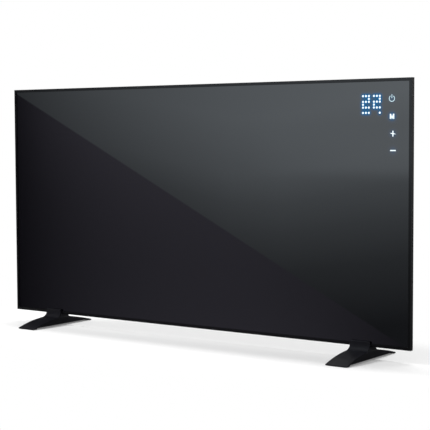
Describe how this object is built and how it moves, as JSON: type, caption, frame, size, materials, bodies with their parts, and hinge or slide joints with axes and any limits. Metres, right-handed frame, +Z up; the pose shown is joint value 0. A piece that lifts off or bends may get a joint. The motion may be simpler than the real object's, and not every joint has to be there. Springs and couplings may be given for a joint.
{
  "type": "infrared panel heater",
  "caption": "Free-standing infrared panel heater: glass front in a slim frame, dot display and touch keys behind the glass, pressed rear cover with a control box, two arched feet.",
  "frame": {"origin": "on the floor, under the middle of the panel's width and midway between the front and rear tips of the feet", "axes": "+X to the right as seen from the front, +Y to the rear, +Z up"},
  "size_m": [1.2, 0.229, 0.631],
  "materials": {
    "black_glass": "polished, opaque black print behind clear glass",
    "black_aluminium": "black anodised, satin",
    "key_steel": "zinc plated",
    "seal_rubber": "matte",
    "foam": "soft foam",
    "heating_film": "carbon printed film",
    "copper": "bright copper",
    "foil": "bright foil",
    "mineral_board": "pressed mineral fibre",
    "cover_paint": "black powder coat",
    "galvanised_steel": "galvanised",
    "screw_steel": "blackened steel",
    "zinc_steel": "zinc plated",
    "mask_plastic": "matte black",
    "led": "clear lens, lit blue-white",
    "board_green": "solder mask",
    "chip_black": "moulded epoxy",
    "box_plastic": "fine textured black",
    "relay_blue": "glossy blue",
    "ferrite": "ferrite and yellow tape",
    "capacitor_sleeve": "shrink sleeve",
    "terminal_green": "moulded",
    "fuse_glass": "clear glass with nickel caps",
    "connector_white": "moulded nylon",
    "lead_insulation": "silicone insulation",
    "gland_nylon": "nylon",
    "switch_plastic": "glossy black",
    "foot_plastic": "black moulded, fine texture",
    "pad_rubber": "soft matte rubber"
  },
  "bodies": {
    "heater": {"backing_foam_strips": "foam", "backing_stiffeners": "galvanised_steel", "board_connectors": "connector_white", "busbars": "copper", "buzzer": "chip_black", "cable_gland": "gland_nylon", "control_box_cover": "box_plastic", "control_box_screws": "screw_steel", "control_tray": "box_plastic", "corner_key_screws": "zinc_steel", "corner_keys": "key_steel", "display_board": "board_green", "display_board_screws": "zinc_steel", "display_carrier": "mask_plastic", "display_leds": "led", "foot_pads": "pad_rubber", "foot_screws": "screw_steel", "frame_bottom_rail": "black_aluminium", "frame_left_rail": "black_aluminium", "frame_right_rail": "black_aluminium", "frame_top_rail": "black_aluminium", "fuse": "fuse_glass", "gland_cap": "gland_nylon", "gland_grommet": "seal_rubber", "gland_nut": "gland_nylon", "glass_panel": "black_glass", "glass_seal": "seal_rubber", "heater_leads": "lead_insulation", "heating_film": "heating_film", "insulation_board": "mineral_board", "left_foot": "foot_plastic", "power_board": "board_green", "power_board_screws": "zinc_steel", "power_capacitors": "capacitor_sleeve", "power_relays": "relay_blue", "power_transformer": "ferrite", "rear_cover": "cover_paint", "rear_cover_screws": "screw_steel", "reflector_foil": "foil", "right_foot": "foot_plastic", "rivet_nuts": "zinc_steel", "room_sensor": "chip_black", "switch_body": "switch_plastic", "switch_terminals": "copper", "terminal_block": "terminal_green", "thermal_cutouts": "zinc_steel", "tilt_switch": "chip_black", "touch_chip": "chip_black", "touch_springs": "copper"},
    "rocker": {"switch_rocker": "switch_plastic"}
  },
  "joints": [
    {"name": "rocker_hinge", "type": "hinge", "parent": "heater", "child": "rocker", "pos_m": [0.5658, 0.0344, 0.534], "axis": [0, 1, 0], "range_deg": [0, 22]}
  ]
}
